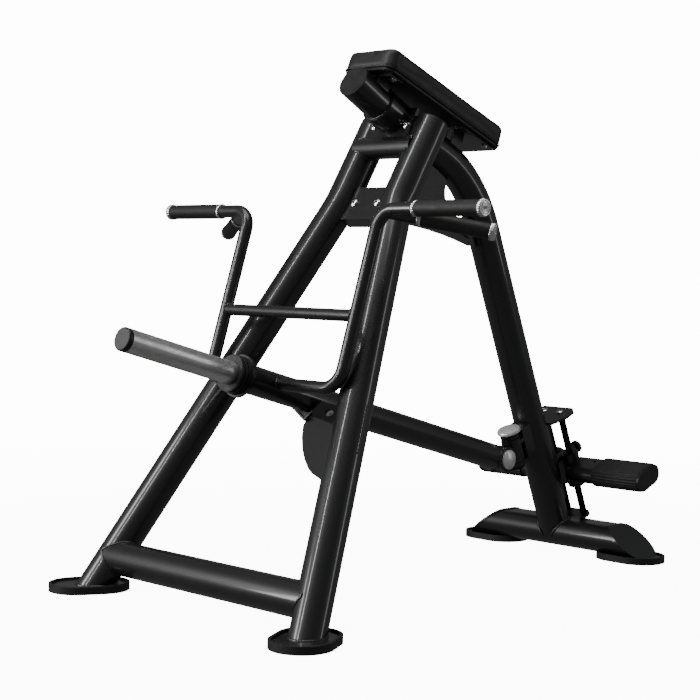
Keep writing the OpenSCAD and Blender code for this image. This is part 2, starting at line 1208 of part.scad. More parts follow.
module on_lock(y) {
    on_mast(lock_s)
        translate([0, y, 0])
            rotate([-90, 0, 0])
                children();
}

module lock_housing() {
    color(steel)
        difference() {
            on_lock(block_rear)
                cylinder(r = 12, h = 28);
            on_lock(block_rear - 1)
                cylinder(r = stem_r + run_gap, h = 40);
        }
}

module lock_pin() {
    color(black) {
        on_lock(rail_face + 0.4)
            cylinder(r = tip_r, h = 10);
        on_lock(rail_face + 9)
            cylinder(r = stem_r, h = 92);
        on_lock(146)
            intersection() {
                cylinder(r = 16.5, h = 18);
                translate([0, 0, -2])
                    sphere(r = 20);
            }
    }
}

// ---------- pad ----------

board_t = 8;
pad_bolt_x = 55;
pad_bolt_in = 44;
strap_t = 5;
rear_rib_y = 317;

module pad_cushion() {
    color(black)
        on_pad()
            translate([0, pad_l / 2, 0])
                linear_extrude(pad_t)
                    rounded_rect(pad_w, pad_l, 26);
}

module pad_board() {
    color(black)
        on_pad()
            difference() {
                translate([0, pad_l / 2, -board_t])
                    linear_extrude(board_t)
                        rounded_rect(pad_w - 8, pad_l - 8, 24);
                at_pad_bolts(-board_t - 1)
                    cylinder(r = 4.5, h = 10);
            }
}

module at_pad_bolts(z) {
    for (x = [-pad_bolt_x, pad_bolt_x], y = [pad_bolt_in, pad_l - 42])
        translate([x, y, z])
            children();
}

// Strap under the board from y0 to y1, with two ribs at rib_y that reach down to a tube.
module pad_strap(y0, y1, rib_y, drop) {
    on_pad()
        difference() {
            union() {
                translate([-65, y0, -board_t - strap_t])
                    cube([130, y1 - y0, strap_t]);
                for (side = [-1, 1])
                    translate([side * 28 - 3, rib_y - 18, -board_t - strap_t - drop])
                        cube([6, 36, drop + 1]);
            }
            at_pad_bolts(-board_t - strap_t - 1)
                cylinder(r = 4.5, h = strap_t + 2);
        }
}

module pad_bracket_front() {
    color(steel)
        difference() {
            pad_strap(pad_bolt_in - 20, pad_bolt_in + 20, pad_bolt_in, 55);
            head_bar(head_d / 2 - weld, 400);
        }
}

module pad_bracket_rear() {
    color(steel)
        difference() {
            pad_strap(rear_rib_y - 24, pad_l - 18, rear_rib_y, 75);
            mast_shape(mast_d / 2 - weld);
        }
}

module pad_bolts() {
    color(chrome)
        on_pad()
            at_pad_bolts(-board_t - strap_t)
                mirror([0, 0, 1]) {
                    bolt_head(7.5, 5);
                    translate([0, 0, -12])
                        cylinder(r = 4.4, h = 13);
                }
}

// ---------- assembly ----------

leg();  // leg_right
mirror([1, 0, 0]) leg();  // leg_left
leg_end_caps();
lower_cross_tube();
upper_cross_tube();
saddle_plate();
saddle_bolts();
front_plate();
front_plate_bolts();
gusset_web();
gusset_tab();
gusset_bolts();
rest_plate();
rest_cradle();
rest_pad();
rest_bolt();
mast();
mast_collar();
head_tube();
head_cap();
base_tube();
base_end_plates();
foot_plates();
foot_pads();
pivot_yoke();
yaw_pin();
yaw_cap();
rod_top_plate();
rod_foot_plate();
guide_rods();
rod_bolts();
index_rail();
pad_bracket_front();
pad_bracket_rear();
pad_board();
pad_cushion();
pad_bolts();
swivel_block();
pivot_bushes();
lever_tube();
lever_housing();
pitch_axle();
pitch_caps();
handle_frame();
handle_crossbar();
rear_handles();
grips();
grip_collars();
grip_ends();
stop_flange();
stop_bumper();
plate_sleeve();
sleeve_cap();
slider_block();
slider_liners();
footrest_tubes();
footrest_treads();
footrest_ends();
lock_housing();
lock_pin();
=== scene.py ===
import json
import math

import bmesh
import bpy
import numpy as np
from mathutils import Matrix, Vector, noise
from mathutils.bvhtree import BVHTree


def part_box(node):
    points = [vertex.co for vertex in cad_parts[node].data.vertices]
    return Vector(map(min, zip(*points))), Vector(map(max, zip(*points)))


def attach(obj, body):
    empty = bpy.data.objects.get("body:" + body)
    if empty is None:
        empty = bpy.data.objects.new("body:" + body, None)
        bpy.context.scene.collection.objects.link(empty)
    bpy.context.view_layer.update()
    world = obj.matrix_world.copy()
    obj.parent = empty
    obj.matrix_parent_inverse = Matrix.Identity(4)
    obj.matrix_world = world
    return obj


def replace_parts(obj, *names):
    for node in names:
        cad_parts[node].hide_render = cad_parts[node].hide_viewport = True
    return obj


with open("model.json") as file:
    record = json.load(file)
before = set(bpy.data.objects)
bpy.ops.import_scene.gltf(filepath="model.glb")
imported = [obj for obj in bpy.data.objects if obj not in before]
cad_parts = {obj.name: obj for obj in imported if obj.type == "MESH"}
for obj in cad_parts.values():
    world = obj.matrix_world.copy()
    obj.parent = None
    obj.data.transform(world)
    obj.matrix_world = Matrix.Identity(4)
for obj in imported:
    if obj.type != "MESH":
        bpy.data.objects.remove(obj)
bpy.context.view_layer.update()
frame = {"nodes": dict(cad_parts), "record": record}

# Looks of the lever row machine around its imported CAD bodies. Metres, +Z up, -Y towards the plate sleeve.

MM = 0.001

# ---------- places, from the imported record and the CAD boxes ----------

RECORD = frame["record"]
JOINTS = {joint["name"]: joint for joint in RECORD["behaviour"]["joints"]}
SLEEVE_MOUNT = next(m for m in RECORD["mounts"] if m["name"] == "plate_sleeve")

HEAD_RISE = math.radians(29)
PAD_SLOPE = math.radians(21.9)
PAD_W, PAD_L, PAD_T, PAD_CORNER = 155 * MM, 428 * MM, 49 * MM, 26 * MM
LEG_R, MAST_R, HEAD_R, LEVER_R, HANDLE_R = 38 * MM, 40 * MM, 38 * MM, 31.75 * MM, 14.5 * MM
HANDLE_ALONG = 797 * MM
HANDLE_LEAN = math.radians(1.7)
LOW_BAR_UP = 6 * MM
CROSSBAR_UP, CROSSBAR_R = 165 * MM, 13 * MM
UPPER_TUBE_R = 25 * MM
LEG_KNEE = Vector((88, -59, 865)) * MM


def middle(node):
    low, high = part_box(node)
    return (low + high) / 2


def frame_matrix(origin, along, up):
    """Matrix whose Z runs along a direction and whose Y is nearest to up."""
    z = along.normalized()
    x = up.cross(z).normalized()
    matrix = Matrix((x, z.cross(x), z)).transposed().to_4x4()
    matrix.translation = origin
    return matrix


UP = Vector((0, 0, 1))
LEVER = frame_matrix(Vector(JOINTS["lever_pitch"]["pos_m"]), Vector(SLEEVE_MOUNT["axis"]), UP)
HEAD_DIR = Vector((0, math.cos(HEAD_RISE), -math.sin(HEAD_RISE)))
MAST_DIR = Vector(JOINTS["footrest_slide"]["axis"])
PAD_LOW, PAD_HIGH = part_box("pad_cushion")
PAD = (
    Matrix.Translation((0, PAD_LOW.y, PAD_HIGH.z - PAD_T * math.cos(PAD_SLOPE)))
    @ Matrix.Rotation(-PAD_SLOPE, 4, "X")
    @ Matrix.Translation((0, PAD_L / 2, 0))
)


# ---------- materials ----------


def add_node(tree, kind, links=None, inputs=None, **settings):
    """A shader node with its settings, its inputs' values and the links into it."""
    node = tree.nodes.new(kind)
    for key, value in settings.items():
        setattr(node, key, value)
    for key, value in (inputs or {}).items():
        node.inputs[key].default_value = value
    for key, socket in (links or {}).items():
        tree.links.new(socket, node.inputs[key])
    return node


EDGE_ROUND = 0.7 * MM
ROUGHNESS_SCALE = 45


class Surface:
    """One procedural material: a Principled shader and the texture nodes that feed it."""

    def __init__(self, name, rough, metallic=0.0, space=None, **inputs):
        self.material = bpy.data.materials.new(name)
        self.material.use_nodes = True
        self.tree = self.material.node_tree
        self.shader = self.tree.nodes["Principled BSDF"]
        self.coords = self.add("ShaderNodeTexCoord").outputs["Object"]
        if space is not None:
            self.coords = self.mapped("Rotation", (space, 0, 0))
        bevel = self.add("ShaderNodeBevel", inputs={"Radius": EDGE_ROUND}, samples=4)
        self.normal = bevel.outputs["Normal"]
        self.shader.inputs["Metallic"].default_value = metallic
        for key, value in inputs.items():
            self.shader.inputs[key.replace("_", " ")].default_value = value
        self.feed("Roughness", self.spread(self.noise(ROUGHNESS_SCALE, 4), *rough))
        self.feed("Normal", self.normal)

    def add(self, kind, links=None, inputs=None, **settings):
        return add_node(self.tree, kind, links, inputs, **settings)

    def feed(self, name, socket):
        self.tree.links.new(socket, self.shader.inputs[name])

    def mapped(self, how, value):
        """The object's coordinates with a Rotation or a Scale."""
        return self.add("ShaderNodeMapping", {"Vector": self.coords}, {how: value}).outputs["Vector"]

    def noise(self, scale, detail=3, stretch=None):
        vector = self.mapped("Scale", stretch) if stretch else self.coords
        values = {"Scale": scale, "Detail": detail}
        return self.add("ShaderNodeTexNoise", {"Vector": vector}, values).outputs["Fac"]

    def cells(self, scale):
        links = {"Vector": self.coords}
        node = self.add("ShaderNodeTexVoronoi", links, {"Scale": scale}, feature="SMOOTH_F1")
        return node.outputs["Distance"]

    def spread(self, socket, low, high):
        """The middle of a noise's range, spread over low..high."""
        values = {"From Min": 0.3, "From Max": 0.7, "To Min": low, "To Max": high}
        return self.add("ShaderNodeMapRange", {"Value": socket}, values).outputs["Result"]

    def colour(self, dark, light, scale=14, stretch=None):
        links = {"Factor": self.spread(self.noise(scale, 5, stretch), 0, 1)}
        values = {"A": (*dark, 1), "B": (*light, 1)}
        mix = self.add("ShaderNodeMix", links, values, data_type="RGBA")
        self.feed("Base Color", mix.outputs["Result"])
        return self

    def bump(self, height, strength, depth):
        links = {"Height": height, "Normal": self.normal}
        node = self.add("ShaderNodeBump", links, {"Strength": strength, "Distance": depth})
        self.normal = node.outputs["Normal"]
        self.feed("Normal", self.normal)
        return self


def grey(value, tint=0.0):
    return (value, value, value + tint)


def make_materials():
    coat = Surface("powder_coat", (0.38, 0.41), Coat_Weight=0.7, Coat_Roughness=0.09)
    coat.colour(grey(0.0072), grey(0.0090, 0.0003))
    coat.bump(coat.noise(420, 2), 0.008, 0.08 * MM).bump(coat.noise(2200, 1), 0.006, 0.05 * MM)

    chrome = Surface("chrome", (0.07, 0.18), 1.0).colour(grey(0.70), grey(0.86), 60)
    chrome.bump(chrome.noise(900, 2), 0.04, 0.1 * MM)

    aluminium = Surface("turned_aluminium", (0.16, 0.28), 1.0).colour(grey(0.72), grey(0.86), 80)
    aluminium.bump(aluminium.noise(1500, 2), 0.08, 0.1 * MM)

    dark = Surface("black_oxide", (0.25, 0.38), 0.7).colour(grey(0.012), grey(0.03), 40)
    dark.bump(dark.noise(1200, 2), 0.06, 0.1 * MM)

    lever_turn = math.atan2(SLEEVE_MOUNT["axis"][2], -SLEEVE_MOUNT["axis"][1])
    sleeve = Surface("brushed_steel", (0.34, 0.44), 1.0, space=math.pi / 2 - lever_turn)
    sleeve.colour(grey(0.82), grey(0.97), 22, (7, 7, 0.6))
    sleeve.bump(sleeve.noise(60, 3, (14, 14, 0.5)), 0.22, 0.12 * MM)
    sleeve.bump(sleeve.noise(90, 2, (0.4, 0.4, 26)), 0.10, 0.08 * MM)

    rubber = Surface("rubber", (0.48, 0.64)).colour(grey(0.010), grey(0.018))
    rubber.bump(rubber.noise(700, 3), 0.25, 0.25 * MM)

    foam = Surface("foam_grip", (0.50, 0.62)).colour(grey(0.005), grey(0.009), 30)
    foam.bump(foam.cells(900), 0.30, 0.25 * MM).bump(foam.noise(260, 3), 0.12, 0.3 * MM)

    plastic = Surface("moulded_plastic", (0.36, 0.48)).colour(grey(0.010), grey(0.017))
    plastic.bump(plastic.cells(1100), 0.16, 0.12 * MM)

    vinyl = Surface("upholstery_vinyl", (0.42, 0.50))
    vinyl.colour(grey(0.009), grey(0.013), 9)
    vinyl.bump(vinyl.noise(12, 1), 0.03, 1 * MM)
    vinyl.bump(vinyl.cells(620), 0.22, 0.18 * MM).bump(vinyl.noise(1500, 2), 0.10, 0.08 * MM)

    board = Surface("painted_board", (0.40, 0.52)).colour(grey(0.008), grey(0.014))
    board.bump(board.noise(24, 4, (9, 1, 9)), 0.18, 0.3 * MM)

    satin = Surface("satin_aluminium", (0.26, 0.36), 0.4).colour(grey(0.84), grey(0.94), 70)
    satin.bump(satin.noise(600, 3), 0.08, 0.12 * MM)

    bronze = Surface("bronze", (0.28, 0.40), 1.0).colour((0.42, 0.28, 0.13), (0.58, 0.42, 0.22), 50)
    bronze.bump(bronze.noise(900, 2), 0.10, 0.1 * MM)

    thread = Surface("thread", (0.55, 0.7)).colour(grey(0.02), grey(0.04), 300)
    thread.bump(thread.noise(2500, 2), 0.4, 0.1 * MM)

    return {
        "black_coat": coat.material,
        "bright_chrome": chrome.material,
        "silver_aluminium": aluminium.material,
        "dark_steel": dark.material,
        "brushed_sleeve": sleeve.material,
        "black_plastic": plastic.material,
        "black_rubber": rubber.material,
        "pad_vinyl": vinyl.material,
        "pad_board": board.material,
        "bronze": bronze.material,
        "foam": foam.material,
        "satin": satin.material,
        "thread": thread.material,
    }


MATERIALS = make_materials()


def paint_cad_nodes():
    slots = {part["node"]: part["material_slot"] for part in RECORD["subparts"]}
    slots.update(grips="foam", pitch_caps="satin", yaw_cap="satin")
    for name, obj in frame["nodes"].items():
        obj.data.materials.clear()
        obj.data.materials.append(MATERIALS[slots[name]])
        obj.data.polygons.foreach_set("material_index", [0] * len(obj.data.polygons))
    paint_yaw_cap()


YAW_CAP_DISC = 12 * MM


def paint_yaw_cap():
    """Only the cap's top disc is bright; its stepped body is coated like the frame."""
    mesh = frame["nodes"]["yaw_cap"].data
    mesh.materials.append(MATERIALS["black_coat"])
    heights = [MAST_DIR.dot(v.co) for v in mesh.vertices]
    edge = max(heights) - YAW_CAP_DISC
    for face in mesh.polygons:
        if sum(heights[v] for v in face.vertices) / len(face.vertices) < edge:
            face.material_index = 1


# ---------- mesh helpers ----------


def new_object(name, bm):
    """An object in the scene, made of a bmesh that is then freed."""
    mesh = bpy.data.meshes.new(name)
    bm.to_mesh(mesh)
    bm.free()
    obj = bpy.data.objects.new(name, mesh)
    bpy.context.scene.collection.objects.link(obj)
    return obj


def add_piece(name, bm, slot, body, finish=None):
    """A piece from a bmesh, smooth shaded, riding on a body."""
    bmesh.ops.recalc_face_normals(bm, faces=bm.faces)
    obj = new_object(name, bm)
    obj.data.materials.append(MATERIALS[finish or slot])
    obj.data.shade_smooth()
    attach(obj, body)
    return obj


def bridge(bm, loops, closed=True):
    """Quads from each loop to the next. Closed goes on to the first loop; open is capped."""
    for near, far in zip(loops, loops[1:] + (loops[:1] if closed else [])):
        for k in range(len(near)):
            j = (k + 1) % len(near)
            bm.faces.new((near[k], near[j], far[j], far[k]))
    if not closed:
        bm.faces.new(loops[0])
        bm.faces.new(loops[-1])


def sweep(bm, path, normals, radius, ripple=0.0, pitch=4 * MM, sides=10, closed=True):
    """A round bead along a path. The ripple swells it once per pitch, as a weld does."""
    count = len(path)
    rings = []
    run = 0.0
    for i, point in enumerate(path):
        ahead = path[(i + 1) % count] if closed or i + 1 < count else path[i]
        behind = path[i - 1] if closed or i else path[i]
        tangent = (ahead - behind).normalized()
        side = tangent.cross(normals[i]).normalized()
        out = side.cross(tangent)
        swell = radius * (1 + ripple * abs(math.sin(math.pi * run / pitch)))
        run += (ahead - point).length
        rings.append([
            bm.verts.new(point + swell * (math.cos(a) * out + math.sin(a) * side))
            for a in (2 * math.pi * k / sides for k in range(sides))
        ])
    bridge(bm, rings, closed)


# ---------- weld beads ----------


def tree_of(node):
    mesh = frame["nodes"][node].data
    return BVHTree.FromPolygons([v.co for v in mesh.vertices], [p.vertices for p in mesh.polygons])


TREES = {}
RING_STEP, LINE_STEP = 1.2 * MM, 1.5 * MM
RING_REACH, LINE_REACH = 0.6, 0.1
ARC_POINTS = 8
BEAD_RIPPLE = 0.22
FRAME_BEAD, COLLAR_BEAD, MAST_BEAD = 2.6 * MM, 2.4 * MM, 3 * MM
LEVER_BEAD, HANDLE_BEAD = 2.2 * MM, 2 * MM
CAST_FROM = 0.1
SEAM_HEIGHTS = (330 * MM, 428 * MM)
SEAM_SIDE = Vector((0.96, 0.02, 0.28)).normalized()


def lay_bead(bm, path, normals, bead, closed=True):
    sweep(bm, path, normals, bead, BEAD_RIPPLE, 3.4 * bead / 2, closed=closed)


def weld_ring(bm, node, origin, direction, radius, bead):
    """A bead where a round tube, cast from origin along direction, meets a CAD node.

    Where the tube is wider than the node, the bead is broken into the arcs that lie on the node.
    """
    tree = TREES.setdefault(node, tree_of(node))
    direction = direction.normalized()
    side = direction.orthogonal().normalized()
    other = direction.cross(side)
    count = max(48, int(2 * math.pi * radius / RING_STEP))
    hits = []
    for i in range(count):
        angle = 2 * math.pi * i / count
        start = origin + radius * (math.cos(angle) * side + math.sin(angle) * other)
        hits.append(tree.ray_cast(start, direction, RING_REACH)[:2])
    found = [pair for pair in hits if pair[0] is not None]
    if len(found) >= count * 0.9:
        lay_bead(bm, *zip(*found), bead)
        return
    first_gap = next(i for i, pair in enumerate(hits) if pair[0] is None)
    arc = []
    for pair in hits[first_gap:] + hits[:first_gap] + [(None, None)]:
        if pair[0] is not None:
            arc.append(pair)
            continue
        if len(arc) > ARC_POINTS:
            lay_bead(bm, *zip(*arc), bead, closed=False)
        arc = []


def weld_line(bm, node, start, end, direction, bead):
    """A straight bead laid on a CAD node, cast from the segment start..end."""
    tree = TREES.setdefault(node, tree_of(node))
    count = max(8, int((end - start).length / LINE_STEP))
    path, normals = [], []
    for i in range(count + 1):
        hit, normal, _, _ = tree.ray_cast(start.lerp(end, i / count), direction, LINE_REACH)
        if hit is not None:
            path.append(hit)
            normals.append(normal)
    if len(path) > ARC_POINTS:
        lay_bead(bm, path, normals, bead, closed=False)


def frame_welds():
    """The frame's beads: cross tubes, collar, mast foot, leg feet and a seam on the right leg."""
    bm = bmesh.new()
    for node, radius in (("lower_cross_tube", LEG_R), ("upper_cross_tube", UPPER_TUBE_R)):
        centre = middle(node)
        weld_ring(bm, "leg_right", centre, Vector((1, 0, 0)), radius, FRAME_BEAD)
        weld_ring(bm, "leg_left", centre, Vector((-1, 0, 0)), radius, FRAME_BEAD)
    collar = middle("mast_collar")
    back = CAST_FROM * HEAD_DIR
    weld_ring(bm, "mast_collar", collar - back, HEAD_DIR, HEAD_R + 1.2 * MM, COLLAR_BEAD)
    weld_ring(bm, "mast_collar", collar + back, -HEAD_DIR, MAST_R + 1 * MM, COLLAR_BEAD)
    foot = middle("base_tube")
    mast_foot = Vector((0, foot.y - 2 * MM, 0)) + 0.2 * MAST_DIR
    weld_ring(bm, "base_tube", mast_foot, -MAST_DIR, MAST_R, MAST_BEAD)
    for leg in ("leg_right", "leg_left"):
        knee, sole = leg_axis(leg)
        weld_ring(bm, "foot_plates", sole.lerp(knee, 0.08), sole - knee, LEG_R, FRAME_BEAD)
    knee, sole = leg_axis("leg_right")
    low, high = (sole.lerp(knee, z / knee.z) + 0.08 * SEAM_SIDE for z in SEAM_HEIGHTS)
    weld_line(bm, "leg_right", low, high, -SEAM_SIDE, LEVER_BEAD)
    add_piece("weld_beads_frame", bm, "black_coat", "frame")


def leg_axis(leg):
    """Two points on a leg's axis, at the bend and at the floor."""
    low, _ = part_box(leg)
    points = np.array([v.co for v in frame["nodes"][leg].data.vertices])
    sole = points[points[:, 2] < low.z + 2 * MM]
    knee = LEG_KNEE.copy()
    if leg == "leg_left":
        knee.x = -knee.x
    return knee, Vector((sole.min(0) + sole.max(0)) / 2)


def lever_welds():
    """The lever's beads: stop flange, housing, and the handles' lower bars and crossbar."""
    bm = bmesh.new()
    along = (LEVER.to_3x3() @ Vector((0, 0, 1))).normalized()
    weld_ring(bm, "stop_flange", LEVER @ Vector((0, 0, 0.8)), along, LEVER_R + 1 * MM, LEVER_BEAD)
    weld_ring(bm, "lever_housing", LEVER @ Vector((0, 0, 0.3)), -along, LEVER_R - 0.5 * MM, LEVER_BEAD)
    for side in (-1, 1):
        inward = Vector((-side, 0, 0))
        low_bar = LEVER @ Vector((side * CAST_FROM, LOW_BAR_UP, HANDLE_ALONG))
        weld_ring(bm, "lever_tube", low_bar, inward, HANDLE_R, HANDLE_BEAD)
        along_bar = HANDLE_ALONG - CROSSBAR_UP * math.sin(HANDLE_LEAN)
        cross = LEVER @ Vector((side * CAST_FROM, CROSSBAR_UP * math.cos(HANDLE_LEAN), along_bar))
        weld_ring(bm, "handle_frame", cross, -inward, CROSSBAR_R, HANDLE_BEAD)
    add_piece("weld_beads_lever", bm, "black_coat", "lever")


# ---------- fluted grip collars and end caps ----------


def islands(node):
    """The separate solids of a CAD node, as arrays of points."""
    bm = bmesh.new()
    bm.from_mesh(frame["nodes"][node].data)
    bmesh.ops.remove_doubles(bm, verts=bm.verts, dist=0.01 * MM)
    seen = set()
    found = []
    for first in bm.verts:
        if first in seen:
            continue
        seen.add(first)
        group, edge = [], [first]
        while edge:
            vert = edge.pop()
            group.append(vert.co.copy())
            for link in vert.link_edges:
                other = link.other_vert(vert)
                if other not in seen:
                    seen.add(other)
                    edge.append(other)
        found.append(np.array(group))
    bm.free()
    return found


def mean_point(points):
    return Vector(points.mean(0))


def extents(points, origin, axis):
    """Start and end along an axis, and the largest distance from it."""
    rel = points - np.array(origin)
    along = rel @ np.array(axis)
    away = np.linalg.norm(rel - np.outer(along, np.array(axis)), axis=1)
    return along.min(), along.max(), away.max()


LATHE_SIDES = 144
FLUTES, FLUTE_DEPTH = 24, 1 * MM


def lathe(bm, matrix, rings):
    """Turns a closed profile of (radius, height, fluted) round the matrix's Z axis."""
    loops = []
    for radius, height, fluted in rings:
        loop = []
        for k in range(LATHE_SIDES):
            angle = 2 * math.pi * k / LATHE_SIDES
            cut = FLUTE_DEPTH * max(0.0, math.cos(FLUTES * angle)) ** 1.5 if fluted else 0.0
            r = max(radius - cut, 0.05 * MM)
            loop.append(bm.verts.new(matrix @ Vector((r * math.cos(angle), r * math.sin(angle), height))))
        loops.append(loop)
    bridge(bm, loops)


def grip_fittings():
    """The fluted collar at each grip's inner end and the fluted cap at its outer end."""
    collars, caps = bmesh.new(), bmesh.new()
    collar_parts = islands("grip_collars")
    for cap in islands("grip_ends"):
        centre = mean_point(cap)
        collar = min(collar_parts, key=lambda c: (mean_point(c) - centre).length)
        axis = (centre - mean_point(collar)).normalized()
        matrix = frame_matrix(mean_point(collar), axis, UP)
        start, end, radius = extents(collar, matrix.translation, axis)
        lathe(collars, matrix, [
            (HANDLE_R, start, False), (radius - 1.4 * MM, start, False),
            (radius, start + 1.2 * MM, True), (radius, end - 1.2 * MM, True),
            (radius - 1.4 * MM, end, False), (HANDLE_R, end, False),
        ])
        start, face, radius = extents(cap, matrix.translation, axis)
        groove = face - 0.6 * MM
        lathe(caps, matrix, [
            (0, start, False), (radius - 1.4 * MM, start, False), (radius, start + 1 * MM, True),
            (radius, face - 2.2 * MM, True), (radius - 1.4 * MM, face - 0.4 * MM, True),
            (radius - 2.6 * MM, face, False), (radius - 5 * MM, face, False),
            (radius - 5.4 * MM, groove, False), (radius - 6.6 * MM, groove, False),
            (radius - 7 * MM, face, False), (8 * MM, face, False),
            (7.6 * MM, groove, False), (6.4 * MM, groove, False),
            (6 * MM, face, False), (4 * MM, face, False),
            (3.6 * MM, face - 3 * MM, False), (0, face - 3 * MM, False),
        ])
    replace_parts(add_piece("fluted_collars", collars, "silver_aluminium", "lever"), "grip_collars")
    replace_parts(add_piece("fluted_end_caps", caps, "silver_aluminium", "lever"), "grip_ends")


# ---------- chest cushion ----------


def outline(half_x, half_y, corner, steps=10):
    """A rounded rectangle as a loop of (point, outward normal)."""
    loop = []
    for quarter, (sx, sy) in enumerate(((1, 1), (-1, 1), (-1, -1), (1, -1))):
        for k in range(steps + 1):
            angle = math.pi / 2 * (quarter + k / steps)
            out = Vector((math.cos(angle), math.sin(angle), 0))
            centre = Vector((sx * (half_x - corner), sy * (half_y - corner), 0))
            loop.append((centre + corner * out, out))
    return loop


def evenly(loop, spacing):
    """The same loop with points at an even spacing."""
    fine = []
    for i, (point, out) in enumerate(loop):
        nxt, nxt_out = loop[(i + 1) % len(loop)]
        parts = max(1, round((nxt - point).length / spacing))
        for k in range(parts):
            fine.append((point.lerp(nxt, k / parts), out.lerp(nxt_out, k / parts).normalized()))
    return fine


CUSHION_INSET = 1.5 * MM
CUSHION_VOXEL = 5 * MM
CUSHION_CAP = 1.8 * MM
CUSHION_TOP, CUSHION_CEILING = PAD_T - 1.5 * MM, PAD_T + 1.5 * MM
TOP_ROUND = 9 * MM
CROWN = 1.6 * MM
HELD_BELOW = 6 * MM
SWELL_FRAMES = 20


def cushion_blank():
    """The foam before it is covered: a rounded slab, a little small, with a soft top edge."""
    bm = bmesh.new()
    side_top = CUSHION_TOP - TOP_ROUND
    levels = [(0.0, 0.0), (0.0, side_top)]
    levels += [
        (TOP_ROUND * (1 - math.cos(a)), side_top + TOP_ROUND * math.sin(a))
        for a in (math.radians(d) for d in (22, 45, 67, 90))
    ]
    loops = []
    for pull, height in levels:
        inset = CUSHION_INSET + pull
        ring = outline(PAD_W / 2 - inset, PAD_L / 2 - inset, PAD_CORNER - inset)
        loops.append([bm.verts.new(point + Vector((0, 0, height))) for point, _ in ring])
    bridge(bm, loops, closed=False)
    bmesh.ops.recalc_face_normals(bm, faces=bm.faces)
    return bm


def evaluated_mesh(obj):
    bpy.context.view_layer.update()
    graph = bpy.context.evaluated_depsgraph_get()
    return bpy.data.meshes.new_from_object(obj.evaluated_get(graph))


def inflate(obj):
    """Swells the cover under pressure with its underside held, then caps how far it moved."""
    before = [v.co.copy() for v in obj.data.vertices]
    held = obj.vertex_groups.new(name="held")
    held.add([v.index for v in obj.data.vertices if v.co.z < HELD_BELOW], 1.0, "ADD")
    cloth = obj.modifiers.new("cover", "CLOTH")
    cloth.settings.vertex_group_mass = "held"
    cloth.settings.quality = 6
    cloth.settings.mass = 0.25
    cloth.settings.tension_stiffness = 30
    cloth.settings.compression_stiffness = 30
    cloth.settings.bending_stiffness = 4
    cloth.settings.use_pressure = True
    cloth.settings.uniform_pressure_force = 4
    cloth.settings.effector_weights.gravity = 0
    cloth.point_cache.frame_start, cloth.point_cache.frame_end = 1, SWELL_FRAMES
    for step in range(1, SWELL_FRAMES + 1):
        bpy.context.scene.frame_set(step)
    swollen = evaluated_mesh(obj)
    obj.modifiers.remove(cloth)
    obj.vertex_groups.clear()
    moved = 0.0
    for vert, start in zip(swollen.vertices, before):
        move = vert.co - start
        moved = max(moved, move.length)
        vert.co = start + move * min(1.0, CUSHION_CAP / max(move.length, 0.01 * MM))
    obj.data = swollen
    bpy.context.scene.frame_set(1)
    print(f"cushion swelled by up to {moved / MM:.1f} mm")


def fit_cushion(mesh):
    """Crowns the cover along both ways and softens it with small dimples, close to its CAD block."""
    for vert in mesh.vertices:
        co = vert.co
        height = min(max(co.z / PAD_T, 0.0), 1.0)
        across, down = co.x / (PAD_W / 2), co.y / (PAD_L / 2)
        crown = CROWN * (1 - across ** 2) * (1 - down ** 4)
        if height > 0.5:
            co.z += crown * (height - 0.5) * 2
        dimple = noise.noise(co * 30) * 0.25 * MM + noise.noise(co * 90) * 0.08 * MM
        co += vert.normal * dimple * min(1.0, height * 4)
        co.x = max(-PAD_W / 2, min(PAD_W / 2, co.x))
        co.y = max(-PAD_L / 2, min(PAD_L / 2, co.y))
        co.z = max(0.0, min(CUSHION_CEILING, co.z))


def make_cushion():
    """The cushion: its blank is remeshed, inflated, smoothed, crowned and set on the board."""
    obj = new_object("chest_cushion", cushion_blank())
    remesh = obj.modifiers.new("voxels", "REMESH")
    remesh.mode, remesh.voxel_size = "VOXEL", CUSHION_VOXEL
    even = evaluated_mesh(obj)
    obj.modifiers.remove(remesh)
    obj.data = even
    inflate(obj)
    relax = obj.modifiers.new("relax", "SMOOTH")
    relax.factor, relax.iterations = 0.5, 2
    finer = obj.modifiers.new("finer", "SUBSURF")
    finer.levels = finer.render_levels = 1
    smooth = evaluated_mesh(obj)
    obj.modifiers.clear()
    obj.data = smooth
    fit_cushion(smooth)
    smooth.transform(PAD)
    smooth.materials.clear()
    smooth.materials.append(MATERIALS["pad_vinyl"])
    smooth.shade_smooth()
    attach(obj, "frame")
    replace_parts(obj, "pad_cushion")


WELT = ("cushion_welt", 1.0 * MM, 1.9 * MM, 1.9 * MM, "pad_vinyl")
BOARD_STRIP = ("board_edge_strip", -6.7 * MM, 4.4 * MM, 1.2 * MM, "pad_board")
STITCH_INSET, STITCH_STEP, STITCH_HEIGHT, STITCH_R = 1.2 * MM, 5 * MM, 5.2 * MM, 0.42 * MM


def pad_edge(inset, spacing):
    """The pad's outline, pulled in and evenly spaced."""
    return evenly(outline(PAD_W / 2 - inset, PAD_L / 2 - inset, PAD_CORNER - inset), spacing)


